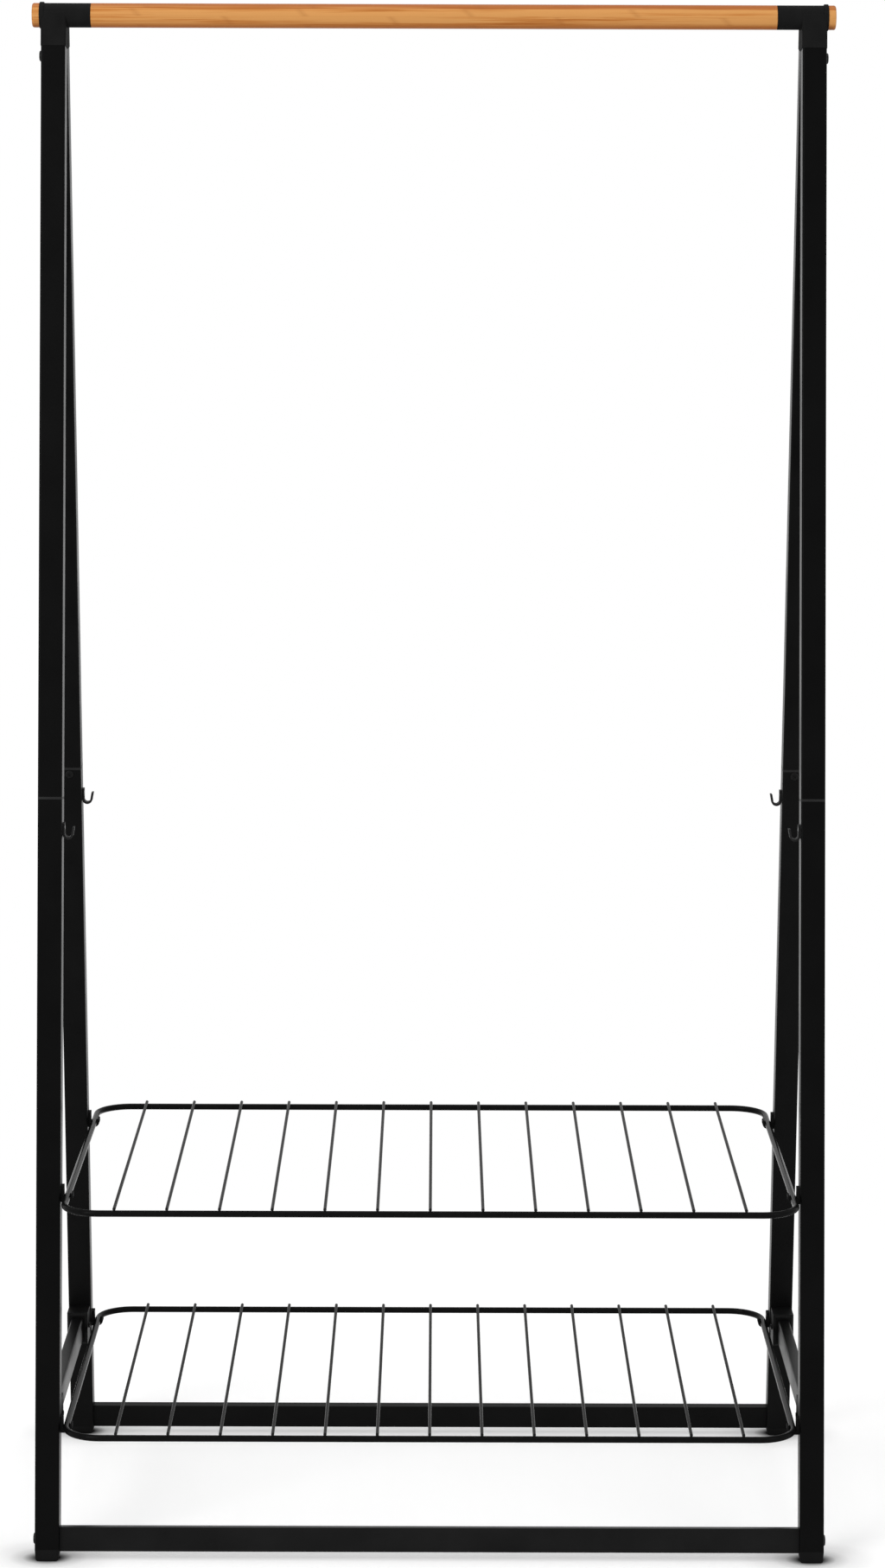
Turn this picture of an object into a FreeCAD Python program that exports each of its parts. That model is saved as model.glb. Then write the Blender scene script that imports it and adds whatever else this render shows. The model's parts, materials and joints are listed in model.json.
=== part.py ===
import FreeCAD, Part
import math
import os
from collections import namedtuple

from FreeCAD import Placement, Rotation, Vector

# Free-standing garment rail: a round wooden rail carried by two moulded hubs on four splayed
# square legs, two floor crossbars, a side stay low on each side, and two wire shelves that
# lie in open clips. Millimetres, +Z up, the front is -Y. The origin is on the floor, under
# the middle of the rail.

# ---- Driving dimensions -------------------------------------------------------------------

FRAME_WIDTH = 968.0            # over the outer faces of the legs
FOOT_SPREAD = 512.0            # between the leg axes at the floor, front to back
RAIL_HEIGHT = 1882.5           # floor to rail axis

TUBE = 30.0                    # square leg and crossbar tube, outside
TUBE_WALL = 1.5
TUBE_CORNER = 2.5              # outside corner radius of the tube
PLUG_FIT = 0.2                 # gap all round between a plug and the tube it sits in

RAIL_DIAMETER = 30.0
RAIL_OVERHANG = 11.8           # rail end beyond the outer face of the leg
RAIL_NECK_DIAMETER = 26.0      # rail turned down where it passes through the collar
RAIL_FIT = 0.15                # radial gap between the neck and the collar
KNOB_ROUND = 2.5
DOWEL_DIAMETER = 10.0
DOWEL_LENGTH = 18.0
DOWEL_FIT = 0.1

COLLAR_DIAMETER = 30.0
COLLAR_REACH = 60.5            # collar end, measured in from the outer face of the leg
FLANGE_DIAMETER = 33.0
FLANGE_WIDTH = 6.0
FLANGE_ROUND = 1.4
FLANGE_STANDOFF = 2.8          # flange face beyond the outer face of the leg
ARM_SHOULDER = 0.5             # how far the hub arm stands proud of the tube, each side
ARM_RISE = 2.0                 # top of the front arm above the rail axis
ARM_TOP_ROUND = 1.2
ARM_DROP = 39.0                # rail axis down to the end of the arm
ARM_KNUCKLE_DROP = 14.0        # rail axis down to the rounded top of the back arm
ARM_GAP = 1.0                  # between the front and back tubes where they leave the hub
HUB_SPIGOT_LENGTH = 48.0
HUB_SPIGOT_WALL = 4.0

LEG_JOINT_HEIGHT = 925.5       # where the half legs meet
JOINER_RIM = 3.0
JOINER_LENGTH = 56.0
JOINER_WALL = 3.0

FOOT_HEIGHT = 12.5             # floor to the lower end of the leg tube
FOOT_BASE = 28.0               # width of the foot just above its rounded lower edge
FOOT_ROUND = 2.5
FOOT_ROUND_STEPS = 3
FOOT_PLUG_LENGTH = 8.0
CROSSBAR_HEIGHT = 24.2         # floor to the middle of the crossbar
CROSSBAR_PLUG_LENGTH = 26.0

FLAT_TUBE_HEIGHT = 30.0        # crossbars and side stays
FLAT_TUBE_THICKNESS = 15.0
FLAT_TUBE_WALL = 1.2
FLAT_TUBE_CORNER = 2.0
STAY_HEIGHT = 164.5            # floor to the middle of the side stay
STAY_FIT = 0.15                # gap all round between the stay and its bracket
SOCKET_WALL = 6.0              # bracket wall above and below the stay
SOCKET_CHEEK = 6.0             # bracket wall beside the stay
SOCKET_REACH = 44.0            # from the leg face to the mouth of the bracket
SOCKET_FLOOR = 6.0             # from the leg face to the end of the stay

SHELF_HEIGHTS = {"upper": 441.2, "lower": 161.0}
SHELF_DEPTH = 568.0            # between the centres of the front and back wires
SHELF_BEND_START = 4.0         # middle of the lower back clip to where the corner bend starts
FRAME_WIRE = 8.0
CROSS_WIRE = 4.0
CROSS_WIRE_COUNT = 13
CROSS_WIRE_OVERRUN = 2.0       # cross wire tip beyond the centre of the frame wire
WELD_GAP = 0.05                # cross wire above the frame wire it is welded to

CLIP_PLATE = 3.5
CLIP_CLEARANCE = 0.4
CLIP_WALL = 2.5
CLIP_WIDTH = 14.0
CLIP_PLATE_RISE = 13.0         # plate top above the wire centre
CLIP_PRONG_RISE = 3.0
CLIP_SCREW_RISE = 8.6

HOOK_DROP = 40.0               # leg joint down to the middle of the hook plate
HOOK_STRIP = 2.6
HOOK_WIDTH = 12.0
HOOK_GAP = 8.0
HOOK_PLATE = 20.0
HOOK_PRONG = 15.0
HOOK_FLARE = 1.5
HOOK_SCREW_RISE = 14.5         # screw above the bottom of the hook

BOLT_DIAMETER = 6.0
BOLT_HOLE_FIT = 0.15           # radial gap round a bolt or screw
HUB_BOLT_DROP = 50.0
HUB_BOLT_HEAD = 14.0
HUB_BOLT_HEAD_HEIGHT = 3.0
HUB_BOLT_REACH = 4.5           # bolt end beyond the tube wall
CROSSBAR_BOLT_HEAD = 14.0
CROSSBAR_BOLT_HEAD_HEIGHT = 2.6
CROSSBAR_BOLT_REACH = 20.0     # bolt end inside the crossbar plug
JOINT_BOLT_DROP = 7.2          # middle of the leg joint down to its bolt
JOINT_BOLT_HEAD = 11.0
JOINT_BOLT_HEAD_HEIGHT = 2.2
JOINT_BOLT_REACH = 8.0         # from the face of the leg to the bolt end
SOCKET_KEY = 3.4               # across the flats of the hexagon key recess
SOCKET_KEY_DEPTH = 1.2
SCREW_DIAMETER = 3.0
SCREW_HEAD = 5.6
SCREW_HEAD_HEIGHT = 1.3
SCREW_REACH = 4.0              # screw tip beyond the face of the leg
STAY_SCREW_HEAD = 7.0
STAY_SCREW_HEAD_HEIGHT = 2.0
RAIL_SCREW_DIAMETER = 3.5
RAIL_SCREW_LENGTH = 12.0
RAIL_SCREW_HEAD = 7.0
RAIL_SCREW_HEAD_HEIGHT = 2.0
CHAMFER_DEPTH = 0.6

LAP = 1.0                      # how far a piece runs into, or a cutter past, its neighbour
STAY_SCREW_TIP = 2.0           # beyond the wall of the stay
CROWN_SHARE = 0.8              # share of a bolt head's height that is rounded
CROWN_STEPS = 3
SAME = 0.01                    # tolerance when edges are picked by length or place

# ---- Values worked out from them ------------------------------------------------------------

SIDES = {"left": -1.0, "right": 1.0}
ENDS = {"front": -1.0, "back": 1.0}

LEG_X = (FRAME_WIDTH - TUBE) / 2.0
LEG_INNER_X = FRAME_WIDTH / 2.0 - TUBE
PLUG = TUBE - 2.0 * (TUBE_WALL + PLUG_FIT)
PLUG_CORNER = TUBE_CORNER - TUBE_WALL - PLUG_FIT
ARM = TUBE + 2.0 * ARM_SHOULDER
HOOK_HEIGHT = LEG_JOINT_HEIGHT - HOOK_DROP

FLANGE_FACE_X = FRAME_WIDTH / 2.0 + FLANGE_STANDOFF
COLLAR_END_X = FRAME_WIDTH / 2.0 - COLLAR_REACH
RAIL_END_X = FRAME_WIDTH / 2.0 + RAIL_OVERHANG

CLIP_WIRE_OFFSET = CLIP_PLATE + CLIP_CLEARANCE + FRAME_WIRE / 2.0
SHELF_SIDE_X = LEG_INNER_X - CLIP_WIRE_OFFSET
CROSS_WIRE_PITCH = 2.0 * SHELF_SIDE_X / (CROSS_WIRE_COUNT + 1)

Leg = namedtuple("Leg", "end foot_y lean")


def make_legs():
    """Front legs aim at the rail axis. Back legs stand behind them by one tube at the arm ends."""
    half = FOOT_SPREAD / 2.0
    splay = half / RAIL_HEIGHT
    tube_across = TUBE * math.hypot(1.0, splay)
    setback = (tube_across + ARM_GAP - 2.0 * ARM_DROP * splay) / (1.0 - ARM_DROP / RAIL_HEIGHT)
    front = Leg("front", -half, math.atan(splay))
    back = Leg("back", half, math.atan((half - setback) / RAIL_HEIGHT))
    return {"front": front, "back": back}


LEGS = make_legs()


def shelf_corner():
    """Centre-line radius of the shelf corners: what the lower back clip leaves of the depth."""
    back = LEGS["back"]
    clip_y = back.foot_y - SHELF_HEIGHTS["lower"] * math.tan(back.lean)
    return SHELF_DEPTH / 2.0 - clip_y - SHELF_BEND_START


SHELF_CORNER = shelf_corner()


# ---- Helpers ------------------------------------------------------------------------------

def leg_y(leg, height):
    """Where the leg axis is, front to back, at a height."""
    return leg.foot_y - ENDS[leg.end] * height * math.tan(leg.lean)


def leg_face_y(leg, height):
    """The face of the leg that looks towards the other leg of its side, at a height."""
    return leg_y(leg, height) - ENDS[leg.end] * TUBE / 2.0 / math.cos(leg.lean)


def along(leg, height):
    """Distance up the leg axis from the floor to a height."""
    return height / math.cos(leg.lean)


def onto_leg(shape, leg, side):
    """Move a shape drawn about +Z at the origin onto the leg axis."""
    lean = Rotation(Vector(1, 0, 0), math.degrees(ENDS[leg.end] * leg.lean))
    at_foot = Placement(Vector(side * LEG_X, leg.foot_y, 0), lean)
    return shape.transformed(at_foot.toMatrix())


def rounded_outline(width, depth, radius):
    """Closed rectangle with round corners, in the XY plane, about the origin."""
    x = width / 2.0
    y = depth / 2.0
    k = radius * (1.0 - math.sqrt(0.5))
    corners = [(x, y, -1, -1), (-x, y, 1, -1), (-x, -y, 1, 1), (x, -y, -1, 1)]
    edges = []
    arcs = []
    for index, (cx, cy, dx, dy) in enumerate(corners):
        on_side = Vector(cx, cy + dy * radius, 0)
        on_end = Vector(cx + dx * radius, cy, 0)
        middle = Vector(cx + dx * k, cy + dy * k, 0)
        start, stop = (on_side, on_end) if index % 2 == 0 else (on_end, on_side)
        arcs.append((start, middle, stop))
    for index, (start, middle, stop) in enumerate(arcs):
        edges.append(Part.Arc(start, middle, stop).toShape())
        following = arcs[(index + 1) % len(arcs)][0]
        edges.append(Part.LineSegment(stop, following).toShape())
    return Part.Wire(edges)


def prism(width, depth, corner, low, high):
    """Rectangle with round corners, drawn about +Z between two heights."""
    outline = rounded_outline(width, depth, corner)
    outline.translate(Vector(0, 0, low))
    return Part.Face(outline).extrude(Vector(0, 0, high - low))


def square_prism(size, corner, low, high):
    return prism(size, size, corner, low, high)


def flat_prism(margin, low, high):
    """Section of the flat tube, larger all round by a margin, with its height along X."""
    height = FLAT_TUBE_HEIGHT + 2.0 * margin
    thickness = FLAT_TUBE_THICKNESS + 2.0 * margin
    return prism(height, thickness, FLAT_TUBE_CORNER + margin, low, high)


def rod_x(x0, x1, y, z, diameter):
    start = Vector(min(x0, x1), y, z)
    return Part.makeCylinder(diameter / 2.0, abs(x1 - x0), start, Vector(1, 0, 0))


def box_between(x0, x1, y0, y1, z0, z1):
    corner = Vector(min(x0, x1), min(y0, y1), min(z0, z1))
    return Part.makeBox(abs(x1 - x0), abs(y1 - y0), abs(z1 - z0), corner)


def revolved_x(points, y, z):
    """Solid of revolution about an axis along X, from (x, radius) points."""
    outline = Part.makePolygon([Vector(px, radius, 0) for px, radius in points + points[:1]])
    solid = Part.Face(outline).revolve(Vector(0, 0, 0), Vector(1, 0, 0), 360)
    solid.translate(Vector(0, y, z))
    return solid


def save(name, shape):
    shape.exportStep(os.path.join("parts", name + ".step"))


# ---- Places of the fasteners -------------------------------------------------------------------

def hub_bolt_place(leg):
    height = RAIL_HEIGHT - HUB_BOLT_DROP
    return leg_y(leg, height), height


def crossbar_bolt_place(leg):
    return leg_y(leg, CROSSBAR_HEIGHT), CROSSBAR_HEIGHT


def clip_screw_place(leg, shelf):
    return leg_y(leg, SHELF_HEIGHTS[shelf]), SHELF_HEIGHTS[shelf] + CLIP_SCREW_RISE


def hook_screw_place(leg):
    return leg_y(leg, HOOK_HEIGHT), HOOK_HEIGHT - HOOK_PLATE / 2.0 + HOOK_SCREW_RISE


def stay_screw_place(leg):
    middle = (SOCKET_REACH + SOCKET_FLOOR) / 2.0
    return leg_face_y(leg, STAY_HEIGHT) - ENDS[leg.end] * middle, STAY_HEIGHT


def rail_screw_x(side):
    return side * (COLLAR_END_X + LEG_INNER_X) / 2.0


# ---- Rail ---------------------------------------------------------------------------------

def rail():
    """Round wooden rail, turned down at both ends where it passes through the collars."""
    radius = RAIL_DIAMETER / 2.0
    neck = RAIL_NECK_DIAMETER / 2.0
    soft = CHAMFER_DEPTH
    points = [(-FLANGE_FACE_X, 0), (-FLANGE_FACE_X, neck), (-COLLAR_END_X, neck),
              (-COLLAR_END_X, radius - soft), (-COLLAR_END_X + soft, radius),
              (COLLAR_END_X - soft, radius), (COLLAR_END_X, radius - soft),
              (COLLAR_END_X, neck), (FLANGE_FACE_X, neck), (FLANGE_FACE_X, 0)]
    body = revolved_x(points, 0, RAIL_HEIGHT)
    for side in SIDES.values():
        hole_end = side * (FLANGE_FACE_X - DOWEL_LENGTH)
        hole = rod_x(hole_end, side * FLANGE_FACE_X, 0, RAIL_HEIGHT, DOWEL_DIAMETER + 2 * DOWEL_FIT)
        body = body.cut(hole)
        body = body.cut(rail_screw_shank(side, BOLT_HOLE_FIT))
    return body


def end_knob(side):
    """Wooden end piece on a dowel, the diameter of the rail, with a rounded rim."""
    radius = RAIL_DIAMETER / 2.0
    disc = rod_x(side * FLANGE_FACE_X, side * RAIL_END_X, 0, RAIL_HEIGHT, RAIL_DIAMETER)
    rim = [e for e in disc.Edges if abs(e.Length - 2 * math.pi * radius) < SAME
           and abs(e.CenterOfMass.x - side * RAIL_END_X) < SAME]
    disc = disc.makeFillet(KNOB_ROUND, rim)
    tip = side * (FLANGE_FACE_X - DOWEL_LENGTH + LAP)
    return disc.fuse(rod_x(tip, side * FLANGE_FACE_X, 0, RAIL_HEIGHT, DOWEL_DIAMETER)).removeSplitter()


# ---- Hubs -----------------------------------------------------------------------------------

def hub_spigot(leg, side):
    """Hollow square plug that the upper end of a leg tube slides over."""
    top = along(leg, RAIL_HEIGHT - ARM_DROP)
    low = top - HUB_SPIGOT_LENGTH
    plug = square_prism(PLUG, PLUG_CORNER, low, top)
    pocket = square_prism(PLUG - 2 * HUB_SPIGOT_WALL, PLUG_CORNER, low, top - HUB_SPIGOT_WALL)
    return onto_leg(plug.cut(pocket), leg, side)


def front_arm(side):
    """Square arm in front of the collar, its top edges rounded."""
    leg = LEGS["front"]
    top = along(leg, RAIL_HEIGHT + ARM_RISE)
    arm = square_prism(ARM, TUBE_CORNER, along(leg, RAIL_HEIGHT - ARM_DROP), top)
    rim = [e for e in arm.Edges if all(abs(v.Z - top) < SAME for v in e.Vertexes)]
    return onto_leg(arm.makeFillet(ARM_TOP_ROUND, rim), leg, side)


def back_arm(side):
    """Square arm with a round knuckle on top, set behind the front arm."""
    leg = LEGS["back"]
    knuckle_height = RAIL_HEIGHT - ARM_KNUCKLE_DROP
    low = along(leg, RAIL_HEIGHT - ARM_DROP)
    arm = square_prism(ARM, TUBE_CORNER, low, along(leg, knuckle_height))
    arm = onto_leg(arm, leg, side)
    x0 = side * LEG_X - ARM / 2.0 + TUBE_CORNER
    x1 = side * LEG_X + ARM / 2.0 - TUBE_CORNER
    return arm.fuse(rod_x(x0, x1, leg_y(leg, knuckle_height), knuckle_height, ARM))


def hub(side):
    """Moulded hub: collar and flange round the rail neck, one arm for each leg of its side."""
    collar = rod_x(side * COLLAR_END_X, side * FLANGE_FACE_X, 0, RAIL_HEIGHT, COLLAR_DIAMETER)
    flange_inner = side * (FLANGE_FACE_X - FLANGE_WIDTH)
    flange = rod_x(flange_inner, side * FLANGE_FACE_X, 0, RAIL_HEIGHT, FLANGE_DIAMETER)
    rims = [e for e in flange.Edges if abs(e.Length - math.pi * FLANGE_DIAMETER) < SAME]
    flange = flange.makeFillet(FLANGE_ROUND, rims)
    pieces = [flange, front_arm(side), back_arm(side)]
    pieces += [hub_spigot(leg, side) for leg in LEGS.values()]
    body = collar.multiFuse(pieces)
    bore = RAIL_NECK_DIAMETER + 2.0 * RAIL_FIT
    x0 = side * (COLLAR_END_X - LAP)
    x1 = side * (FLANGE_FACE_X + LAP)
    body = body.cut(rod_x(x0, x1, 0, RAIL_HEIGHT, bore))
    for leg in LEGS.values():
        y, z = hub_bolt_place(leg)
        body = body.cut(rod_x(side * LEG_X, side * FRAME_WIDTH / 2.0, y, z, bolt_hole()))
    body = body.cut(rail_screw_shank(side, BOLT_HOLE_FIT))
    return body.removeSplitter()


# ---- Legs -----------------------------------------------------------------------------------

def bolt_hole():
    return BOLT_DIAMETER + 2.0 * BOLT_HOLE_FIT


def screw_hole():
    return SCREW_DIAMETER + 2.0 * BOLT_HOLE_FIT


def leg_tube(leg, side, low, high):
    """Square tube between two distances up the leg axis."""
    outer = square_prism(TUBE, TUBE_CORNER, low, high)
    inner = square_prism(TUBE - 2 * TUBE_WALL, TUBE_CORNER - TUBE_WALL, low, high)
    return onto_leg(outer.cut(inner), leg, side)


def upper_leg(leg, side):
    """Upper half leg, drilled on its outer side for the hub bolt."""
    low = along(leg, LEG_JOINT_HEIGHT) + JOINER_RIM / 2.0
    tube = leg_tube(leg, side, low, along(leg, RAIL_HEIGHT - ARM_DROP))
    y, z = hub_bolt_place(leg)
    return tube.cut(rod_x(side * LEG_X, side * FRAME_WIDTH / 2.0, y, z, bolt_hole()))


def lower_leg(leg, side):
    """Lower half leg, drilled for the crossbar and joint bolts, the shelf clips and the hook."""
    high = along(leg, LEG_JOINT_HEIGHT) - JOINER_RIM / 2.0
    tube = leg_tube(leg, side, along(leg, FOOT_HEIGHT), high)
    y, z = crossbar_bolt_place(leg)
    tube = tube.cut(rod_x(side * LEG_INNER_X, side * FRAME_WIDTH / 2.0, y, z, bolt_hole()))
    screws = [clip_screw_place(leg, shelf) for shelf in SHELF_HEIGHTS] + [hook_screw_place(leg)]
    for y, z in screws:
        tube = tube.cut(rod_x(side * LEG_INNER_X, side * LEG_X, y, z, screw_hole()))
    return tube.cut(at_joint_bolt(rod_x(-2.0 * TUBE_WALL, LAP, 0, 0, bolt_hole()), leg, side))


def at_joint_bolt(shape, leg, side):
    """Move a shape drawn along +X onto the leg face that looks towards the other leg of its side."""
    inward = -ENDS[leg.end]
    seat = Vector(0, inward * TUBE / 2.0, along(leg, LEG_JOINT_HEIGHT) - JOINT_BOLT_DROP)
    turn = Rotation(Vector(0, 0, 1), 90.0 * inward)
    return onto_leg(shape.transformed(Placement(seat, turn).toMatrix()), leg, side)


def leg_joiner(leg, side):
    """Sleeve inside both half legs, with a rim that shows as a line between them."""
    middle = along(leg, LEG_JOINT_HEIGHT)
    low = middle - JOINER_LENGTH / 2.0
    high = middle + JOINER_LENGTH / 2.0
    sleeve = square_prism(PLUG, PLUG_CORNER, low, high)
    rim = square_prism(TUBE, TUBE_CORNER, middle - JOINER_RIM / 2.0, middle + JOINER_RIM / 2.0)
    hollow = square_prism(PLUG - 2 * JOINER_WALL, PLUG_CORNER, low, high)
    joiner = onto_leg(sleeve.fuse(rim).cut(hollow), leg, side)
    return joiner.cut(at_joint_bolt(rod_x(-TUBE / 2.0, 0, 0, 0, bolt_hole()), leg, side))


def foot(leg, side):
    """Foot plug: a tapered block with a flat, round-edged base, and a plug inside the tube."""
    start = along(leg, FOOT_HEIGHT)
    sections = []
    for step in range(FOOT_ROUND_STEPS + 1):
        turn = math.pi / 2.0 * step / FOOT_ROUND_STEPS
        inset = FOOT_ROUND * (1.0 - math.sin(turn))
        outline = rounded_outline(FOOT_BASE - 2 * inset, FOOT_BASE - 2 * inset, TUBE_CORNER)
        rise = FOOT_ROUND * (1.0 - math.cos(turn))
        outline.translate(Vector(side * LEG_X, leg.foot_y, rise))
        sections.append(outline)
    top = rounded_outline(TUBE, TUBE, TUBE_CORNER)
    top.translate(Vector(0, 0, start))
    sections.append(onto_leg(top, leg, side))
    block = Part.makeLoft(sections, True, True)
    plug = onto_leg(square_prism(PLUG, PLUG_CORNER, start - LAP, start + FOOT_PLUG_LENGTH), leg, side)
    return block.fuse(plug).removeSplitter()


# ---- Crossbars ------------------------------------------------------------------------------

def on_crossbar(shape, leg):
    """Turn a shape drawn about +Z so that it lies along X, on edge and leaning with the legs."""
    lean = math.degrees(ENDS[leg.end] * leg.lean)
    turn = Rotation(Vector(1, 0, 0), lean).multiply(Rotation(Vector(0, 1, 0), 90))
    middle = Vector(0, leg_y(leg, CROSSBAR_HEIGHT), CROSSBAR_HEIGHT)
    return shape.transformed(Placement(middle, turn).toMatrix())


def crossbar(leg):
    """Flat tube on edge between the two legs of one end."""
    outer = flat_prism(0.0, -LEG_INNER_X, LEG_INNER_X)
    inner = flat_prism(-FLAT_TUBE_WALL, -LEG_INNER_X, LEG_INNER_X)
    return on_crossbar(outer.cut(inner), leg)


def crossbar_plug(leg, side):
    """Plug in the end of the crossbar that the bolt through the leg screws into."""
    mouth = side * LEG_INNER_X
    depth = side * (LEG_INNER_X - CROSSBAR_PLUG_LENGTH)
    plug = flat_prism(-FLAT_TUBE_WALL - PLUG_FIT, min(mouth, depth), max(mouth, depth))
    y, z = crossbar_bolt_place(leg)
    return on_crossbar(plug, leg).cut(rod_x(mouth, depth, y, z, bolt_hole()))


# ---- Side stays -----------------------------------------------------------------------------

def stay_end_y(leg):
    return leg_face_y(leg, STAY_HEIGHT) - ENDS[leg.end] * SOCKET_FLOOR


def stay_prism(margin, y0, y1):
    """Flat tube section along Y at the height of the stay, larger by a margin, about X = 0."""
    turn = Rotation(Vector(1, 1, 1), -120)
    section = flat_prism(margin, min(y0, y1), max(y0, y1))
    return section.transformed(Placement(Vector(0, 0, STAY_HEIGHT), turn).toMatrix())


def stay(side):
    """Flat rectangular tube between the legs of one side, its ends inside the two brackets."""
    y0 = stay_end_y(LEGS["front"])
    y1 = stay_end_y(LEGS["back"])
    tube = stay_prism(0.0, y0, y1).cut(stay_prism(-FLAT_TUBE_WALL, y0, y1))
    tube.translate(Vector(side * LEG_X, 0, 0))
    for leg in LEGS.values():
        y, z = stay_screw_place(leg)
        inner_x = LEG_X - FLAT_TUBE_THICKNESS / 2.0
        tube = tube.cut(rod_x(side * inner_x, side * (inner_x + FLAT_TUBE_WALL), y, z, screw_hole()))
    return tube


def stay_bracket(leg, side):
    """Moulded socket on the inner face of the leg that holds the end of the stay."""
    face = leg_face_y(leg, STAY_HEIGHT)
    toward = -ENDS[leg.end]
    half_x = FLAT_TUBE_THICKNESS / 2.0 + SOCKET_CHEEK
    half_z = FLAT_TUBE_HEIGHT / 2.0 + SOCKET_WALL
    mouth = face + toward * SOCKET_REACH
    block = box_between(-half_x, half_x, leg_y(leg, STAY_HEIGHT), mouth,
                        STAY_HEIGHT - half_z, STAY_HEIGHT + half_z)
    edges = [e for e in block.Edges if abs(e.CenterOfMass.y - mouth) < SAME]
    block = block.makeChamfer(SOCKET_WALL / 2.0, edges)
    block = block.cut(stay_prism(STAY_FIT, stay_end_y(leg), mouth + toward * LAP))
    block.translate(Vector(side * LEG_X, 0, 0))
    reach = 2.0 * half_z
    low = along(leg, STAY_HEIGHT - reach)
    leg_body = onto_leg(square_prism(TUBE, TUBE_CORNER, low, along(leg, STAY_HEIGHT + reach)), leg, side)
    y, z = stay_screw_place(leg)
    inner_x = side * (LEG_X - half_x)
    hole = rod_x(inner_x, side * (LEG_X - FLAT_TUBE_THICKNESS / 2.0), y, z, screw_hole())
    return block.cut(leg_body).cut(hole)


# ---- Wire shelves ---------------------------------------------------------------------------

def shelf_frame(shelf):
    """Round wire bent into a closed rectangle with round corners."""
    radius = FRAME_WIRE / 2.0
    straight_x = SHELF_SIDE_X - SHELF_CORNER
    straight_y = SHELF_DEPTH / 2.0 - SHELF_CORNER
    height = SHELF_HEIGHTS[shelf]
    runs = []
    for sign in (-1.0, 1.0):
        along_x = Vector(-straight_x, sign * SHELF_DEPTH / 2.0, height)
        along_y = Vector(sign * SHELF_SIDE_X, -straight_y, height)
        runs.append(Part.makeCylinder(radius, 2.0 * straight_x, along_x, Vector(1, 0, 0)))
        runs.append(Part.makeCylinder(radius, 2.0 * straight_y, along_y, Vector(0, 1, 0)))
    for quarter, (sx, sy) in enumerate([(1, 1), (-1, 1), (-1, -1), (1, -1)]):
        bend = Part.makeTorus(SHELF_CORNER, radius, Vector(0, 0, 0), Vector(0, 0, 1), -180, 180, 90)
        bend.rotate(Vector(0, 0, 0), Vector(0, 0, 1), 90.0 * quarter)
        bend.translate(Vector(sx * straight_x, sy * straight_y, height))
        runs.append(bend)
    return runs[0].multiFuse(runs[1:])


def shelf_wires(shelf):
    """Straight cross wires, front to back, welded on top of the frame wire."""
    height = SHELF_HEIGHTS[shelf] + (FRAME_WIRE + CROSS_WIRE) / 2.0 + WELD_GAP
    reach = SHELF_DEPTH / 2.0 + CROSS_WIRE_OVERRUN
    wires = []
    for index in range(CROSS_WIRE_COUNT):
        x = (index - (CROSS_WIRE_COUNT - 1) / 2.0) * CROSS_WIRE_PITCH
        start = Vector(x, -reach, height)
        wires.append(Part.makeCylinder(CROSS_WIRE / 2.0, 2.0 * reach, start, Vector(0, 1, 0)))
    return Part.makeCompound(wires)


# ---- Clips and hooks --------------------------------------------------------------------------

class Profile:
    """Outline in the plane across X, from distances in from the leg face and heights."""

    def __init__(self, side, y, height):
        self.side = side
        self.y = y
        self.height = height
        self.edges = []
        self.pen = None

    def point(self, inward, rise):
        x = self.side * (LEG_INNER_X - inward)
        return Vector(x, self.y, self.height + rise)

    def start(self, inward, rise):
        self.pen = (inward, rise)

    def line(self, inward, rise):
        self.edges.append(Part.LineSegment(self.point(*self.pen), self.point(inward, rise)).toShape())
        self.pen = (inward, rise)

    def arc(self, middle, end):
        arc = Part.Arc(self.point(*self.pen), self.point(*middle), self.point(*end))
        self.edges.append(arc.toShape())
        self.pen = end

    def solid(self, width):
        face = Part.Face(Part.Wire(self.edges))
        face.translate(Vector(0, -width / 2.0, 0))
        return face.extrude(Vector(0, width, 0))


def shelf_clip(leg, shelf, side):
    """Open saddle on the inner side of the leg: the side wire of the shelf lies in it."""
    centre = CLIP_WIRE_OFFSET
    inner = FRAME_WIRE / 2.0 + CLIP_CLEARANCE
    outer = inner + CLIP_WALL
    tip = CLIP_WALL / 2.0
    profile = Profile(side, leg_y(leg, SHELF_HEIGHTS[shelf]), SHELF_HEIGHTS[shelf])
    profile.start(0, CLIP_PLATE_RISE)
    profile.line(CLIP_PLATE, CLIP_PLATE_RISE)
    profile.line(CLIP_PLATE, 0)
    profile.arc((centre, -inner), (centre + inner, 0))
    profile.line(centre + inner, CLIP_PRONG_RISE)
    profile.arc((centre + inner + tip, CLIP_PRONG_RISE + tip), (centre + outer, CLIP_PRONG_RISE))
    profile.line(centre + outer, 0)
    turn = outer * math.sqrt(0.5)
    profile.arc((centre + turn, -turn), (centre, -outer))
    profile.line(0, -outer)
    profile.line(0, CLIP_PLATE_RISE)
    clip = profile.solid(CLIP_WIDTH)
    return clip.cut(countersunk_screw(*clip_screw_place(leg, shelf), side, CLIP_PLATE, BOLT_HOLE_FIT))


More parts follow.
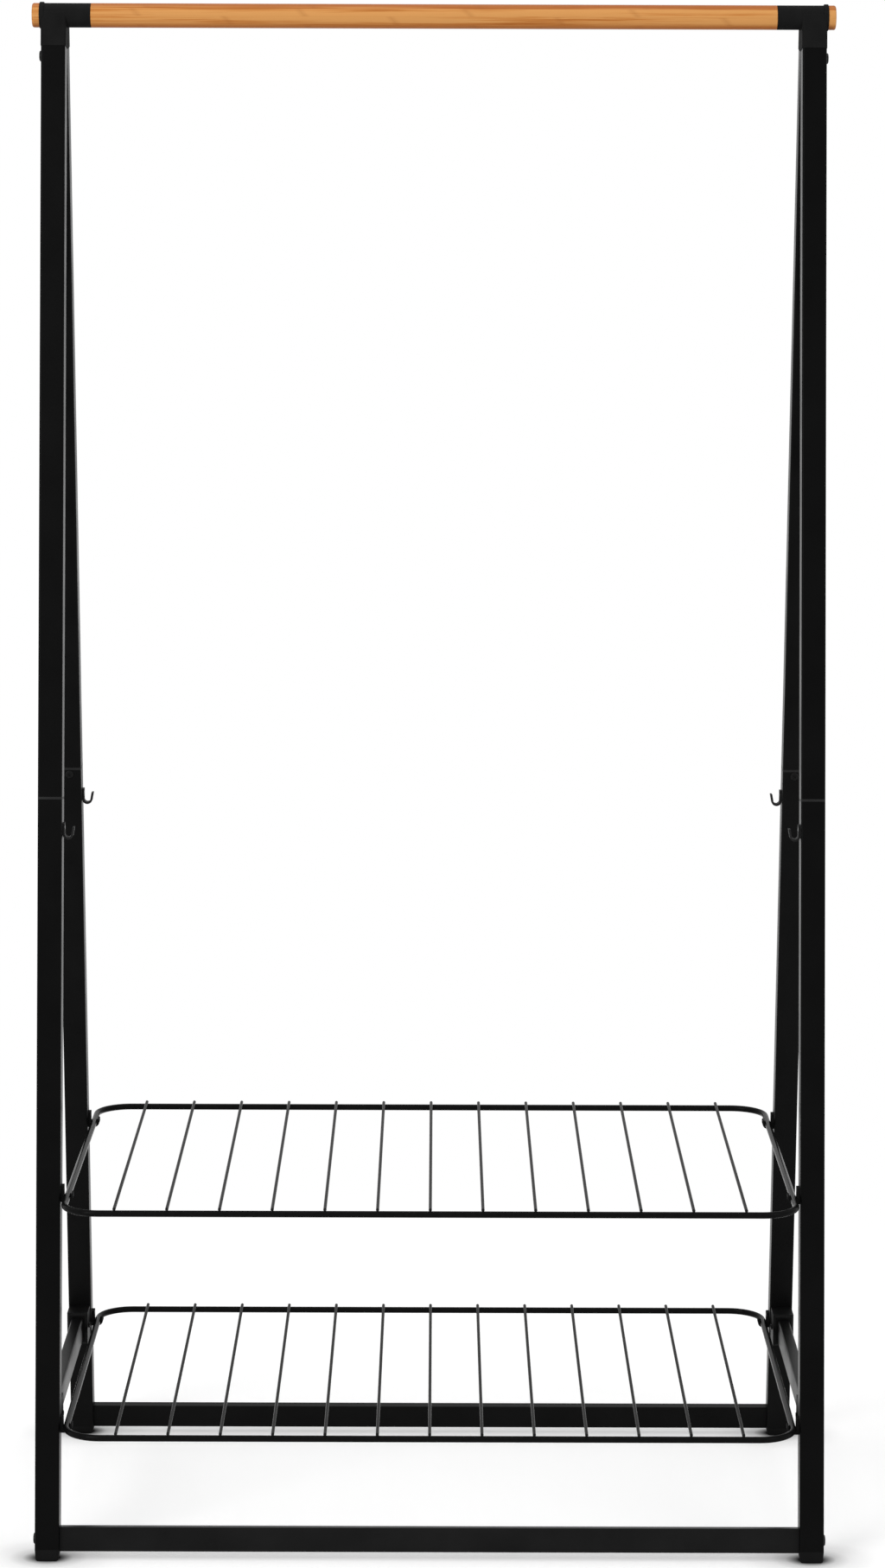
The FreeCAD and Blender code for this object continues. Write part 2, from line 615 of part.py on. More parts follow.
def coat_hook(leg, side):
    """Strip bent into a J: a plate on the inner side of the leg, a round bottom, a flared prong."""
    bend = HOOK_GAP / 2.0
    back = bend + HOOK_STRIP
    base = HOOK_HEIGHT - HOOK_PLATE / 2.0
    profile = Profile(side, leg_y(leg, HOOK_HEIGHT), base)
    far = HOOK_STRIP + HOOK_GAP
    profile.start(0, HOOK_PLATE)
    profile.line(HOOK_STRIP, HOOK_PLATE)
    profile.line(HOOK_STRIP, back)
    profile.arc((HOOK_STRIP + bend, HOOK_STRIP), (far, back))
    profile.line(far + HOOK_FLARE, HOOK_PRONG)
    profile.line(far + HOOK_FLARE + HOOK_STRIP, HOOK_PRONG)
    profile.line(far + HOOK_STRIP, back)
    profile.arc((HOOK_STRIP + bend, 0), (0, back))
    profile.line(0, HOOK_PLATE)
    hook = profile.solid(HOOK_WIDTH)
    return hook.cut(countersunk_screw(*hook_screw_place(leg), side, HOOK_STRIP, BOLT_HOLE_FIT))


# ---- Fasteners --------------------------------------------------------------------------------

def hexagon(across_flats):
    radius = across_flats / math.sqrt(3.0)
    corners = [Vector(0, radius * math.cos(math.radians(60 * k)), radius * math.sin(math.radians(60 * k)))
               for k in range(7)]
    return Part.Face(Part.makePolygon(corners))


def button_bolt(head, head_height, reach):
    """Round-headed bolt along +X, seated at the origin, with a hexagon key recess."""
    crown = CROWN_SHARE * head_height
    rim = head / 2.0
    shank = BOLT_DIAMETER / 2.0
    points = [(-reach, 0), (-reach, shank), (0, shank), (0, rim), (head_height - crown, rim)]
    for step in range(1, CROWN_STEPS + 1):
        turn = math.pi / 2.0 * step / CROWN_STEPS
        points.append((head_height - crown * (1.0 - math.sin(turn)), rim - crown * (1.0 - math.cos(turn))))
    points.append((head_height, 0))
    key = hexagon(SOCKET_KEY)
    key.translate(Vector(head_height - SOCKET_KEY_DEPTH, 0, 0))
    return revolved_x(points, 0, 0).cut(key.extrude(Vector(SOCKET_KEY_DEPTH * 2.0, 0, 0)))


def outer_bolt(side, y, z, head, head_height, reach):
    """Button bolt in from the outer side of a leg."""
    turn = Rotation(Vector(0, 0, 1), 90.0 - 90.0 * side)
    seat = Placement(Vector(side * FRAME_WIDTH / 2.0, y, z), turn)
    return button_bolt(head, head_height, reach).transformed(seat.toMatrix())


def hub_bolts():
    reach = TUBE_WALL + HUB_BOLT_REACH
    bolts = [outer_bolt(side, *hub_bolt_place(leg), HUB_BOLT_HEAD, HUB_BOLT_HEAD_HEIGHT, reach)
             for side in SIDES.values() for leg in LEGS.values()]
    return Part.makeCompound(bolts)


def crossbar_bolts():
    reach = TUBE + CROSSBAR_BOLT_REACH
    bolts = [outer_bolt(side, *crossbar_bolt_place(leg), CROSSBAR_BOLT_HEAD,
                        CROSSBAR_BOLT_HEAD_HEIGHT, reach)
             for side in SIDES.values() for leg in LEGS.values()]
    return Part.makeCompound(bolts)


def joint_bolts():
    """One bolt through each lower half leg into the joiner."""
    bolt = button_bolt(JOINT_BOLT_HEAD, JOINT_BOLT_HEAD_HEIGHT, JOINT_BOLT_REACH)
    bolts = [at_joint_bolt(bolt, leg, side) for side in SIDES.values() for leg in LEGS.values()]
    return Part.makeCompound(bolts)


def countersunk_screw(y, z, side, plate, margin):
    """Countersunk screw through a plate on the inner side of a leg, larger all round by a margin."""
    radius = SCREW_DIAMETER / 2.0 + margin
    head = SCREW_HEAD / 2.0 + margin
    face = LEG_INNER_X - plate
    points = [(side * (LEG_INNER_X + SCREW_REACH), 0), (side * (LEG_INNER_X + SCREW_REACH), radius),
              (side * (face + SCREW_HEAD_HEIGHT), radius), (side * face, head), (side * face, 0)]
    return revolved_x(points, y, z)


def clip_screws():
    screws = [countersunk_screw(*clip_screw_place(leg, shelf), side, CLIP_PLATE, 0.0)
              for shelf in SHELF_HEIGHTS for side in SIDES.values() for leg in LEGS.values()]
    return Part.makeCompound(screws)


def hook_screws():
    screws = [countersunk_screw(*hook_screw_place(leg), side, HOOK_STRIP, 0.0)
              for side in SIDES.values() for leg in LEGS.values()]
    return Part.makeCompound(screws)


def stay_screws():
    """Pan-head screws through the inner cheek of each bracket into the stay."""
    face = LEG_X - FLAT_TUBE_THICKNESS / 2.0 - SOCKET_CHEEK
    tip = LEG_X - FLAT_TUBE_THICKNESS / 2.0 + FLAT_TUBE_WALL + STAY_SCREW_TIP
    top = face - STAY_SCREW_HEAD_HEIGHT
    rim = STAY_SCREW_HEAD / 2.0
    shank = SCREW_DIAMETER / 2.0
    points = [(tip, 0), (tip, shank), (face, shank), (face, rim), (top + CHAMFER_DEPTH, rim),
              (top, rim - CHAMFER_DEPTH), (top, 0)]
    screws = [revolved_x([(side * x, radius) for x, radius in points], *stay_screw_place(leg))
              for side in SIDES.values() for leg in LEGS.values()]
    return Part.makeCompound(screws)


def rail_screw_shank(side, margin):
    """Screw shank in from the back of the collar, larger by a margin."""
    start = Vector(rail_screw_x(side), COLLAR_DIAMETER / 2.0 + LAP, RAIL_HEIGHT)
    length = RAIL_SCREW_LENGTH + LAP + margin
    return Part.makeCylinder(RAIL_SCREW_DIAMETER / 2.0 + margin, length, start, Vector(0, -1, 0))


def rail_screws():
    """One screw in from the back of each collar, which keeps the rail from turning or sliding."""
    screws = []
    radius = RAIL_SCREW_HEAD / 2.0
    for side in SIDES.values():
        seat = Vector(rail_screw_x(side), COLLAR_DIAMETER / 2.0 + LAP / 2.0, RAIL_HEIGHT)
        head = Part.makeCone(radius, radius - CHAMFER_DEPTH, RAIL_SCREW_HEAD_HEIGHT, seat, Vector(0, 1, 0))
        screws.append(head.fuse(rail_screw_shank(side, 0.0)))
    return Part.makeCompound(screws)


# ---- Build ------------------------------------------------------------------------------------

def build():
    save("rail", rail())
    for side_name, side in SIDES.items():
        save("end_knob_" + side_name, end_knob(side))
        save("hub_" + side_name, hub(side))
        save("side_stay_" + side_name, stay(side))
        for end, leg in LEGS.items():
            corner = end + "_" + side_name
            save("upper_leg_" + corner, upper_leg(leg, side))
            save("lower_leg_" + corner, lower_leg(leg, side))
            save("leg_joiner_" + corner, leg_joiner(leg, side))
            save("foot_" + corner, foot(leg, side))
            save("crossbar_plug_" + corner, crossbar_plug(leg, side))
            save("stay_bracket_" + corner, stay_bracket(leg, side))
            save("coat_hook_" + corner, coat_hook(leg, side))
            for shelf in SHELF_HEIGHTS:
                save(shelf + "_shelf_clip_" + corner, shelf_clip(leg, shelf, side))
    for end, leg in LEGS.items():
        save("crossbar_" + end, crossbar(leg))
    for shelf in SHELF_HEIGHTS:
        save(shelf + "_shelf_frame", shelf_frame(shelf))
        save(shelf + "_shelf_wires", shelf_wires(shelf))
    save("hub_bolts", hub_bolts())
    save("crossbar_bolts", crossbar_bolts())
    save("joint_bolts", joint_bolts())
    save("clip_screws", clip_screws())
    save("hook_screws", hook_screws())
    save("stay_screws", stay_screws())
    save("rail_screws", rail_screws())


os.makedirs("parts", exist_ok=True)
build()
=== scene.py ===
import json
import math

import bpy
from mathutils import Matrix, Vector

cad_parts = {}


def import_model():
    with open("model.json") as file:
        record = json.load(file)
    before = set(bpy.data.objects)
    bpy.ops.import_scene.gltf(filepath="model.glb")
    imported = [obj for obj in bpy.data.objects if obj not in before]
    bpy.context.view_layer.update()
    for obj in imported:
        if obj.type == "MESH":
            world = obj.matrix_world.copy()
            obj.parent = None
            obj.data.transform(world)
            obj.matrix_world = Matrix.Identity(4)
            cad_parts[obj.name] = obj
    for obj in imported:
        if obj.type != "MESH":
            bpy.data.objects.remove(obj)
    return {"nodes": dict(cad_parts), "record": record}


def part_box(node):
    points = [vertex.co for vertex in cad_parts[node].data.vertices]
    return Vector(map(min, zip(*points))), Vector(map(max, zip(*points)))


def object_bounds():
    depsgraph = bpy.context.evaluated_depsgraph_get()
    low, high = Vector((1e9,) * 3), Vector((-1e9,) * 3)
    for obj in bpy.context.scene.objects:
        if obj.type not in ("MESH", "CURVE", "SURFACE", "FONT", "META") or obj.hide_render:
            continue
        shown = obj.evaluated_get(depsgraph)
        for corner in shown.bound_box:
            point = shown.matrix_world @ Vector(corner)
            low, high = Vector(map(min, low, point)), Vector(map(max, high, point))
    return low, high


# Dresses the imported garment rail: a finish for every node, a pale studio and the camera.
# Lengths are in metres, angles in radians, lamp powers in watts, and colours are linear.

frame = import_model()
NODES = frame["nodes"]


def corners_as_lists():
    return [[float(value) for value in corner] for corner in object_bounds()]


CAD_BOX = corners_as_lists()
LOW, HIGH = (Vector(corner) for corner in CAD_BOX)
MIDDLE = (LOW + HIGH) / 2


# ---- Node helpers --------------------------------------------------------------------------

NOISE_LOW, NOISE_HIGH = 0.3, 0.7   # most of a noise lies between these two values


def grey(level):
    return (level, level, level)


def opaque(colour):
    """A colour with the fourth value that a colour socket wants."""
    return tuple(colour) + (1.0,)


WHITE = opaque(grey(1.0))


class Graph:
    """A node tree with short calls that add nodes and wire them."""

    def __init__(self, tree):
        self.tree = tree

    def feed(self, socket, value):
        """Link an input to another node's output, or give it a plain value."""
        if isinstance(value, bpy.types.NodeSocket):
            self.tree.links.new(value, socket)
        else:
            socket.default_value = value

    def node(self, kind, inputs=(), **settings):
        made = self.tree.nodes.new(kind)
        for key, value in settings.items():
            setattr(made, key, value)
        for key, value in dict(inputs).items():
            self.feed(made.inputs[key], value)
        return made

    def axes(self, vector):
        return self.node("ShaderNodeSeparateXYZ", {"Vector": vector}).outputs

    def maths(self, operation, first, second=0.0):
        inputs = {0: first, 1: second}
        return self.node("ShaderNodeMath", inputs, operation=operation).outputs["Value"]

    def weighed(self, *terms):
        """The sum of value times weight over all terms."""
        products = [self.maths("MULTIPLY", value, weight) for value, weight in terms]
        total = products[0]
        for product in products[1:]:
            total = self.maths("ADD", total, product)
        return total

    def remap(self, value, low, high, new_low, new_high):
        """The value, with low turned into new_low, high into new_high, and held between them."""
        inputs = {"Value": value, "From Min": low, "From Max": high,
                  "To Min": new_low, "To Max": new_high}
        return self.node("ShaderNodeMapRange", inputs).outputs["Result"]

    def ramp(self, share, stops):
        """The colour that (place, colour) stops give at a share from 0 to 1."""
        made = self.node("ShaderNodeValToRGB", {"Fac": share})
        elements = made.color_ramp.elements
        while len(elements) < len(stops):
            elements.new(0.5)   # moved to its place just below
        for element, (place, colour) in zip(elements, stops):
            element.position = place
            element.color = opaque(colour)
        return made.outputs["Color"]

    def mix(self, share, first, second):
        """One colour turned into another by a share from 0 to 1."""
        # a Mix node's colour sockets come after those for numbers and vectors
        inputs = {0: share, 6: first, 7: second}
        return self.node("ShaderNodeMix", inputs, data_type="RGBA").outputs[2]

    def mix_shaders(self, share, first, second):
        inputs = {0: share, 1: first.outputs[0], 2: second.outputs[0]}
        return self.node("ShaderNodeMixShader", inputs).outputs[0]

    def seen_directly(self):
        """1 for camera, mirror and see-through rays, 0 for the rays that carry soft light."""
        rays = self.node("ShaderNodeLightPath").outputs
        shiny = self.maths("MAXIMUM", rays["Is Glossy Ray"], rays["Is Transmission Ray"])
        return self.maths("MAXIMUM", rays["Is Camera Ray"], shiny)


class Shader(Graph):
    """The node tree of a new material, with what its finish is made from."""

    def __init__(self, name):
        self.material = bpy.data.materials.new(name)
        self.material.use_nodes = True
        super().__init__(self.material.node_tree)
        self.principled = self.tree.nodes["Principled BSDF"]
        self.output = self.tree.nodes["Material Output"]
        self.coordinates = self.node("ShaderNodeTexCoord").outputs["Object"]

    def stretched(self, scale):
        """Object coordinates, multiplied along each axis."""
        inputs = {"Vector": self.coordinates, "Scale": scale}
        return self.node("ShaderNodeMapping", inputs).outputs["Vector"]

    def noise(self, vector, scale, detail=3.0, roughness=0.55):
        inputs = {"Vector": vector, "Scale": scale, "Detail": detail, "Roughness": roughness}
        return self.node("ShaderNodeTexNoise", inputs).outputs["Fac"]

    def varied(self, noise, low, high):
        """A value that follows a noise between low and high."""
        return self.remap(noise, NOISE_LOW, NOISE_HIGH, low, high)

    def mottled(self, noise, level, darkest, palest):
        """A grey that follows a noise between two multiples of its level."""
        stops = [(NOISE_LOW, grey(level * darkest)), (NOISE_HIGH, grey(level * palest))]
        return self.ramp(noise, stops)

    def bump(self, height, strength, distance):
        inputs = {"Height": height, "Strength": strength, "Distance": distance}
        self.set(Normal=self.node("ShaderNodeBump", inputs).outputs["Normal"])

    def set(self, **sockets):
        """Feed the main shader's sockets, their names written with underscores."""
        for key, value in sockets.items():
            self.feed(self.principled.inputs[key.replace("_", " ")], value)


# ---- Finishes ------------------------------------------------------------------------------

def powder_coat(name, level):
    """Satin black powder coat: fine orange peel, slightly uneven sheen."""
    made = Shader(name)
    peel = made.noise(made.coordinates, scale=900.0, detail=2.0)
    cloud = made.noise(made.coordinates, scale=14.0, detail=4.0)
    made.set(Base_Color=made.mottled(cloud, level, darkest=0.8, palest=1.2))
    made.set(Roughness=made.varied(cloud, low=0.27, high=0.34), Specular_IOR_Level=0.040)
    made.bump(peel, strength=0.06, distance=0.0003)
    return made.material


def gloss_wire(name, level, sheen):
    """Dipped coat on the shelf wires: smooth and glossier than the powder coat."""
    made = Shader(name)
    ripple = made.noise(made.coordinates, scale=260.0, detail=2.0)
    made.set(Base_Color=made.mottled(ripple, level, darkest=0.8, palest=1.2))
    made.set(Roughness=made.varied(ripple, low=0.16, high=0.24), Specular_IOR_Level=sheen)
    made.bump(ripple, strength=0.05, distance=0.0003)
    return made.material


def moulding(name, level, roughness, grain, sheen):
    """Moulded plastic with a fine spark-eroded grain."""
    made = Shader(name)
    fine = made.noise(made.coordinates, scale=grain, roughness=0.6)
    broad = made.noise(made.coordinates, scale=40.0)
    made.set(Base_Color=made.mottled(broad, level, darkest=0.85, palest=1.2))
    made.set(Roughness=made.varied(fine, low=roughness - 0.05, high=roughness + 0.06))
    made.set(Specular_IOR_Level=sheen)
    made.bump(fine, strength=0.14, distance=0.0004)
    return made.material


OXIDE_STOPS = [(0.35, grey(0.003)), (0.75, grey(0.008))]


def black_oxide():
    """Dark bolt and screw heads, a little brighter where turned."""
    made = Shader("black_oxide")
    turned = made.noise(made.stretched((3, 1, 1)), scale=500.0, detail=2.0)
    made.set(Base_Color=made.ramp(turned, OXIDE_STOPS))
    made.set(Roughness=made.varied(turned, low=0.20, high=0.30), Specular_IOR_Level=0.10)
    made.bump(turned, strength=0.08, distance=0.0002)
    return made.material


BAMBOO_PALE = (0.570, 0.268, 0.082)
BAMBOO_MID = (0.470, 0.180, 0.042)
BAMBOO_DARK = (0.330, 0.095, 0.014)
BAMBOO_NODE = (0.280, 0.085, 0.017)
BAMBOO_STOPS = [(0.43, BAMBOO_DARK), (0.485, BAMBOO_MID), (0.55, BAMBOO_PALE)]

STREAK_STRETCH = (1.0, 52, 52)     # slow along the rail and quick across it, for long marks
FIBRE_STRETCH = (2.2, 170, 170)
FINE_STRETCH = (4.0, 900, 900)
STREAK_WEIGHT = 0.60               # the shares of streaks, fibres and strips in the tone
FIBRE_WEIGHT = 0.28
STRIP_WEIGHT = 0.12

RAIL_LOW, RAIL_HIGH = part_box("rail")
RAIL_AXIS = (RAIL_LOW[2] + RAIL_HIGH[2]) / 2
RAIL_RADIUS = (RAIL_HIGH[2] - RAIL_LOW[2]) / 2
# painted shade: the top and the bottom of the rail are darkened in place of light falling off on
# the round
EDGE_SHADE_FROM = RAIL_RADIUS * 0.52     # above or below the axis, where the painted shade along the top and bottom sets in
EDGE_SHADE_TO = RAIL_RADIUS * 0.86       # and where it is full
EDGE_SHADE_STRENGTH = 0.85

STRIP_WIDTH = 0.0098               # height of one strip of the laminate
GLUE_FROM = 0.46                   # from a strip's middle to its glue line, in strip widths
GLUE_STRENGTH = 0.20
RAIL_NODE_SPACING = 0.205          # between two node bands of one strip
BAND_REACH = 0.034                 # from a band's middle to its edge, in spacings
BAND_STRENGTH = 0.24
BAND_SCATTER = 7.3                 # moves each strip's bands along by its own amount

DOT_SCALE = 900.0                  # fibre ends in a metre
DOT_INNER = 0.18                   # from a fibre's centre, in cells, to where its dot fades
DOT_OUTER = 0.38                   # and to where it is gone
DOT_STRENGTH = 0.5
END_FROM = 0.6                     # how squarely a face looks along the rail to be an end
END_TO = 0.8


def strip_tones(made, strips):
    """A random level for each strip."""
    number = {"W": made.maths("FLOOR", strips)}
    levels = made.node("ShaderNodeTexWhiteNoise", number, noise_dimensions="1D")
    return levels.outputs["Value"]


def painted_edge_shade(made, height):
    """Painted shade: the rail darker along its top and its bottom, where its round turns away
    from the light.
    """
    from_axis = made.maths("ABSOLUTE", made.maths("SUBTRACT", height, RAIL_AXIS))
    return made.remap(from_axis, EDGE_SHADE_FROM, EDGE_SHADE_TO, 0.0, EDGE_SHADE_STRENGTH)


def node_bands(made, along, height, strip_tone):
    """Slanted node bands, in each strip at its own place along the rail."""
    slanted = made.maths("DIVIDE", made.maths("ADD", along, height), RAIL_NODE_SPACING)
    run = made.maths("ADD", slanted, made.maths("MULTIPLY", strip_tone, BAND_SCATTER))
    to_band = made.maths("ABSOLUTE", made.maths("SUBTRACT", made.maths("FRACT", run), 0.5))
    return made.remap(to_band, 0.0, BAND_REACH, BAND_STRENGTH, 0.0)


def glue_lines(made, strips):
    """Thin dark lines along the edges of the strips."""
    within = made.maths("FRACT", strips)
    from_middle = made.maths("ABSOLUTE", made.maths("SUBTRACT", within, 0.5))
    return made.remap(from_middle, GLUE_FROM, 0.5, 0.0, GLUE_STRENGTH)


def end_dots(made):
    """Fibre ends, only on faces that look along the rail."""
    inputs = {"Vector": made.stretched((0, 1, 1)), "Scale": DOT_SCALE}
    distance = made.node("ShaderNodeTexVoronoi", inputs).outputs["Distance"]
    dots = made.remap(distance, DOT_INNER, DOT_OUTER, DOT_STRENGTH, 0.0)
    normal = made.node("ShaderNodeNewGeometry").outputs["Normal"]
    facing = made.maths("ABSOLUTE", made.axes(normal)["X"])
    return made.maths("MULTIPLY", dots, made.remap(facing, END_FROM, END_TO, 0.0, 1.0))


def bamboo(name, end_grain):
    """Laminated bamboo: strips of different tone, long fibres and node bands, with painted shade
    along the top and the bottom.
    """
    made = Shader(name)
    axes = made.axes(made.coordinates)
    along, height = axes["X"], axes["Z"]
    strips = made.maths("DIVIDE", height, STRIP_WIDTH)
    strip_tone = strip_tones(made, strips)
    streak = made.noise(made.stretched(STREAK_STRETCH), scale=3.2, detail=4.0, roughness=0.60)
    fibre = made.noise(made.stretched(FIBRE_STRETCH), scale=5.0, detail=5.0, roughness=0.62)
    fine = made.noise(made.stretched(FINE_STRETCH), scale=1.6, detail=2.0)
    shade = made.weighed(
        (streak, STREAK_WEIGHT), (fibre, FIBRE_WEIGHT), (strip_tone, STRIP_WEIGHT))
    colour = made.ramp(shade, BAMBOO_STOPS)
    # painted shade along the top and the bottom of the rail
    colour = made.mix(painted_edge_shade(made, height), colour, opaque(BAMBOO_DARK))
    bands = node_bands(made, along, height, strip_tone)
    colour = made.mix(bands, colour, opaque(BAMBOO_NODE))
    colour = made.mix(glue_lines(made, strips), colour, opaque(BAMBOO_DARK))
    if end_grain:
        colour = made.mix(end_dots(made), colour, opaque(BAMBOO_NODE))
    made.set(Base_Color=colour, Roughness=made.varied(fibre, low=0.36, high=0.48))
    made.set(Specular_IOR_Level=0.08, Coat_Weight=0.02, Coat_Roughness=0.25)
    made.bump(fine, strength=0.12, distance=0.0003)
    return made.material


def slot_finishes():
    """The finish of each material slot in the record."""
    return {
        "powder_coat": powder_coat("powder_coat", level=0.0022),
        "gloss_wire": gloss_wire("gloss_wire", level=0.0045, sheen=0.028),
        "moulded_black": moulding(
            "moulded_black", level=0.0078, roughness=0.72, grain=1500.0, sheen=0.03),
        "joiner_grey": moulding(
            "joiner_grey", level=0.0135, roughness=0.50, grain=1500.0, sheen=0.10),
        "foot_black": moulding(
            "foot_black", level=0.0060, roughness=0.58, grain=1100.0, sheen=0.05),
        "hook_black": moulding(
            "hook_black", level=0.0130, roughness=0.55, grain=1800.0, sheen=0.06),
        "fastener_black": black_oxide(),
        "bamboo": bamboo("bamboo", end_grain=False),
    }


def own_finishes():
    """Starts of node names, and the finish of these nodes in place of their slot's."""
    return [
        (("end_knob_",), bamboo("bamboo_end", end_grain=True)),
        # painted light: a lighter copy of the powder coat on the front crossbar
        (("crossbar_front",), powder_coat("powder_coat_bar_painted_light", level=0.0085)),
        # painted light: a lighter copy of the powder coat on the back crossbar and the back legs
        (("crossbar_back", "upper_leg_back_", "lower_leg_back_"),
         powder_coat("powder_coat_back_painted_light", level=0.0042)),
        # painted shade: a darker copy of the moulded black on the stay brackets
        (("stay_bracket_",), moulding(
            "moulded_bracket_painted_shade", level=0.0034, roughness=0.42, grain=1500.0, sheen=0.05)),
        # painted reflection: the cross wires' coat with a lighter base in place of most of its
        # sheen
        (("upper_shelf_wires", "lower_shelf_wires"),
         gloss_wire("gloss_wire_thin_painted_sheen", level=0.0150, sheen=0.008)),
    ]


def dress():
    """Give each node its own finish, or else that of its material slot in the record."""
    by_slot = slot_finishes()
    own = own_finishes()
    for part in frame["record"]["subparts"]:
        finish = by_slot[part["material_slot"]]
        for starts, special in own:
            if part["node"].startswith(starts):
                finish = special
        materials = NODES[part["node"]].data.materials
        materials.clear()
        materials.append(finish)


# ---- Studio ----------------------------------------------------------------------------------

FLOOR_RADIUS = 14.0
FLOOR_CORNERS = 48
FLOOR_TONE = 0.843
FLOOR_LIFT = 0.28              # light of the floor itself, added to what the lamps give it
CLEAR_FROM = 0.75              # from the middle, where the floor starts to turn plain white
CLEAR_TO = 1.6                 # and where it is plain white
SHADE_REACH = 0.090            # from a foot's centre to where its shade ends
SHADE_SQUASH = 1.3             # how much shorter the shade is from front to back
SHADE_STEPS = [                # share of that reach, and how much of the floor's tone is left
    (0.16, 0.01), (0.25, 0.30), (0.35, 0.64), (0.55, 0.86), (1.0, 1.0)]
ROOM_FRONT = 0.80              # soft light from the room before the object
ROOM_BACK = 0.50               # and from behind it
ROOM_BLEND = 0.5               # how far forward or back a direction points for the full level
LAMPS = [                      # name, place, width and height, power
    ("key", (-2.2, -2.9, 2.4), (1.8, 2.4), 56.0),
    ("fill", (2.8, -2.6, 1.8), (1.6, 2.4), 20.0),
    ("overhead", (0.0, 0.3, 4.2), (3.0, 2.0), 34.0),
]


def add_object(name, data):
    made = bpy.data.objects.new(name, data)
    bpy.context.scene.collection.objects.link(made)
    return made


def foot_shade(shader):
    """The tight dark shade round each foot: near 0 under it, 1 well away from it."""
    total = 1.0
    inputs = {0: shader.coordinates, 1: (1.0, SHADE_SQUASH, 0.0)}
    place = shader.node("ShaderNodeVectorMath", inputs, operation="MULTIPLY").outputs["Vector"]
    steps = [(at, grey(level)) for at, level in SHADE_STEPS]
    for name in NODES:
        if not name.startswith("foot_"):
            continue
        low, high = (Vector(corner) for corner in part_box(name))
        centre = (low + high) / 2
        inputs = {0: place, 1: (centre.x, centre.y * SHADE_SQUASH, 0.0)}
        away = shader.node("ShaderNodeVectorMath", inputs, operation="DISTANCE").outputs["Value"]
        share = shader.remap(away, 0.0, SHADE_REACH, 0.0, 1.0)
        total = shader.maths("MULTIPLY", shader.ramp(share, steps), total)
    return total


def floor_material():
    """White that keeps the shadow near the object, with a dark shade round each foot."""
    shader = Shader("studio_floor")
    shader.tree.nodes.remove(shader.principled)
    seen = shader.seen_directly()
    axes = shader.axes(shader.coordinates)
    flat = shader.node("ShaderNodeCombineXYZ", {"X": axes["X"], "Y": axes["Y"]}).outputs["Vector"]
    far = shader.node("ShaderNodeVectorMath", {0: flat}, operation="LENGTH").outputs["Value"]
    # plain white is for what is seen; the soft light always comes off the matt floor
    plain = shader.maths("MULTIPLY", shader.remap(far, CLEAR_FROM, CLEAR_TO, 0.0, 1.0), seen)
    clear = foot_shade(shader)
    tone = shader.mix(clear, opaque(grey(0.0)), opaque(grey(FLOOR_TONE)))
    matt = shader.node("ShaderNodeBsdfDiffuse", {"Color": tone})
    own_light = shader.maths("MULTIPLY", shader.maths("MULTIPLY", seen, FLOOR_LIFT), clear)
    lift = shader.node("ShaderNodeEmission", {"Strength": own_light})
    near = shader.node("ShaderNodeAddShader", {0: matt.outputs[0], 1: lift.outputs[0]})
    white = shader.node("ShaderNodeEmission", {"Strength": 1.0})
    shader.feed(shader.output.inputs["Surface"], shader.mix_shaders(plain, near, white))
    return shader.material


def floor():
    """A wide round floor under the object, plain white farther out."""
    angles = [2 * math.pi * k / FLOOR_CORNERS for k in range(FLOOR_CORNERS)]
    ring = [(FLOOR_RADIUS * math.cos(a), FLOOR_RADIUS * math.sin(a), LOW.z) for a in angles]
    mesh = bpy.data.meshes.new("studio_floor")
    mesh.from_pydata(ring, [], [list(range(FLOOR_CORNERS))])
    mesh.materials.append(floor_material())
    made = add_object("studio_floor", mesh)


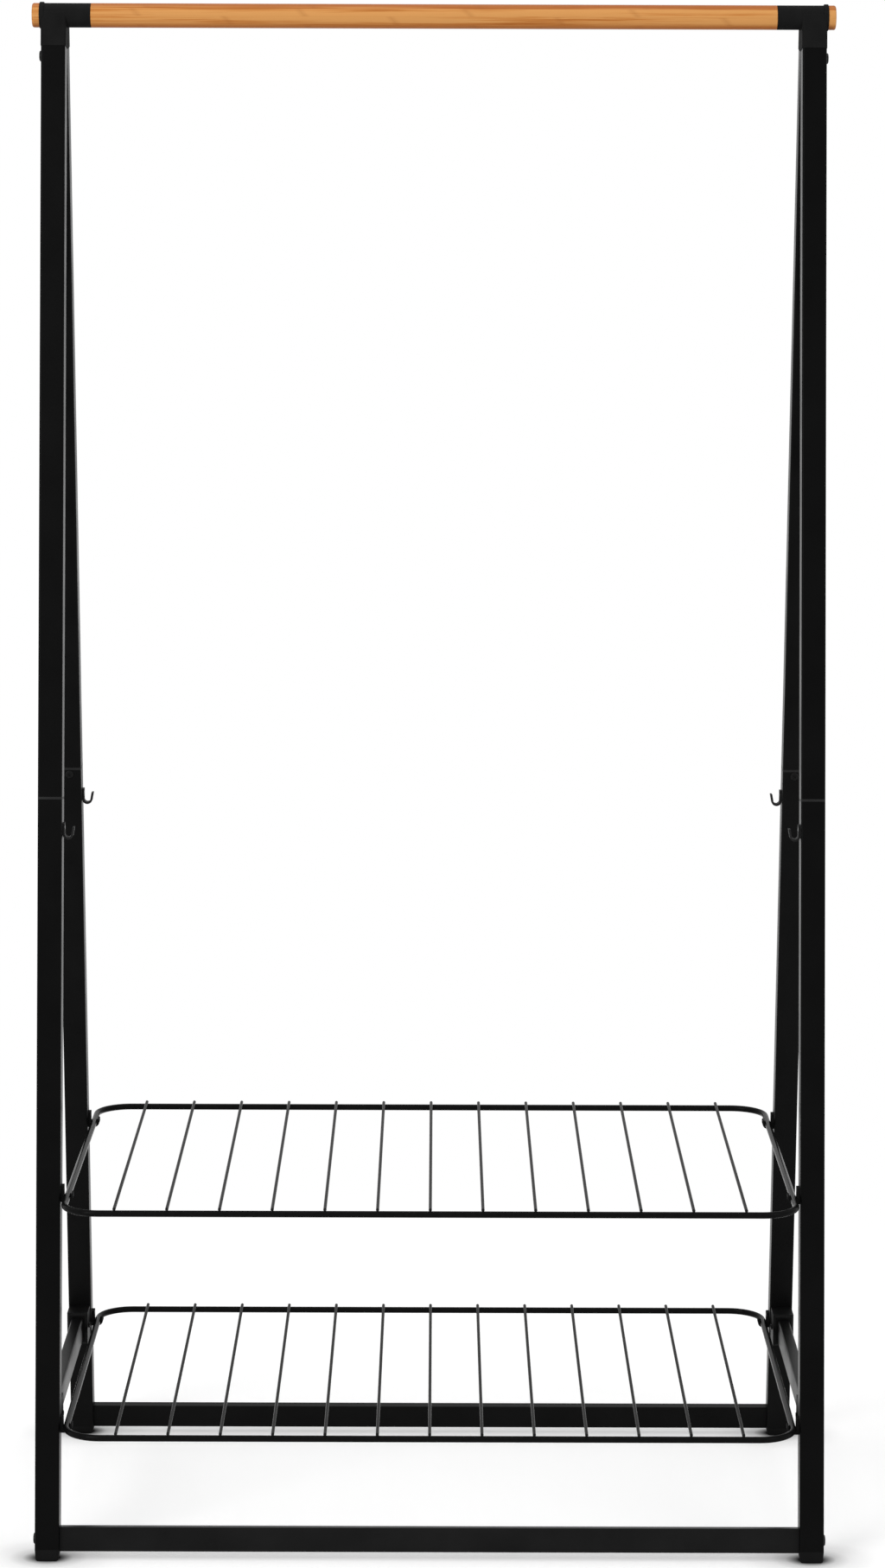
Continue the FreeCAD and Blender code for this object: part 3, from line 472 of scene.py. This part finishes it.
def world():
    """White where it is seen or mirrored; as soft light, a bright front and a dimmer back."""
    made = bpy.data.worlds.new("studio")
    bpy.context.scene.world = made
    made.use_nodes = True
    made.node_tree.nodes.clear()
    graph = Graph(made.node_tree)
    direction = graph.node("ShaderNodeTexCoord").outputs["Generated"]
    depth = graph.axes(direction)["Y"]
    level = graph.remap(depth, -ROOM_BLEND, ROOM_BLEND, ROOM_FRONT, ROOM_BACK)
    room = graph.node("ShaderNodeBackground", {"Color": WHITE, "Strength": level})
    white = graph.node("ShaderNodeBackground", {"Color": WHITE})
    surface = graph.mix_shaders(graph.seen_directly(), room, white)
    graph.node("ShaderNodeOutputWorld", {"Surface": surface})


def lights():
    """Rectangular lamps, all turned towards the middle of the object."""
    for name, place, size, power in LAMPS:
        lamp = bpy.data.lights.new(name, "AREA")
        lamp.shape = "RECTANGLE"
        lamp.size, lamp.size_y = size
        lamp.energy = power
        made = add_object(name, lamp)
        made.location = place
        made.rotation_euler = (MIDDLE - Vector(place)).to_track_quat("-Z", "Y").to_euler()


# ---- Camera ----------------------------------------------------------------------------------

CAMERA_PLACE = Vector((0.0058, -5.1673, 1.7113))
CAMERA_PITCH = math.radians(7.09)      # downward
CAMERA_YAW = math.radians(0.08)        # to the right
CAMERA_ROLL = math.radians(0.187)      # its right side upward
SENSOR_HEIGHT = 36.0                   # in millimetres
FOCAL_TO_HEIGHT = 2.638                # focal length over the height of the picture
SHIFT = -0.0722


def camera():
    """Look along the yaw and pitch, then roll about that line."""
    lens = bpy.data.cameras.new("camera")
    lens.sensor_fit = "VERTICAL"
    lens.sensor_height = SENSOR_HEIGHT
    lens.lens = FOCAL_TO_HEIGHT * SENSOR_HEIGHT
    lens.shift_y = SHIFT
    made = add_object("camera", lens)
    forward = Vector((math.sin(CAMERA_YAW) * math.cos(CAMERA_PITCH),
                      math.cos(CAMERA_YAW) * math.cos(CAMERA_PITCH), -math.sin(CAMERA_PITCH)))
    level = Vector((math.cos(CAMERA_YAW), -math.sin(CAMERA_YAW), 0.0))
    upward = level.cross(forward)
    right = level * math.cos(CAMERA_ROLL) + upward * math.sin(CAMERA_ROLL)
    up = upward * math.cos(CAMERA_ROLL) - level * math.sin(CAMERA_ROLL)
    turned = Matrix((right, up, -forward)).transposed().to_4x4()
    made.matrix_world = Matrix.Translation(CAMERA_PLACE) @ turned
    bpy.context.scene.camera = made


# ---- Build -------------------------------------------------------------------------------------

dress()
floor()
world()
lights()
camera()
bpy.context.scene.view_settings.view_transform = "Standard"
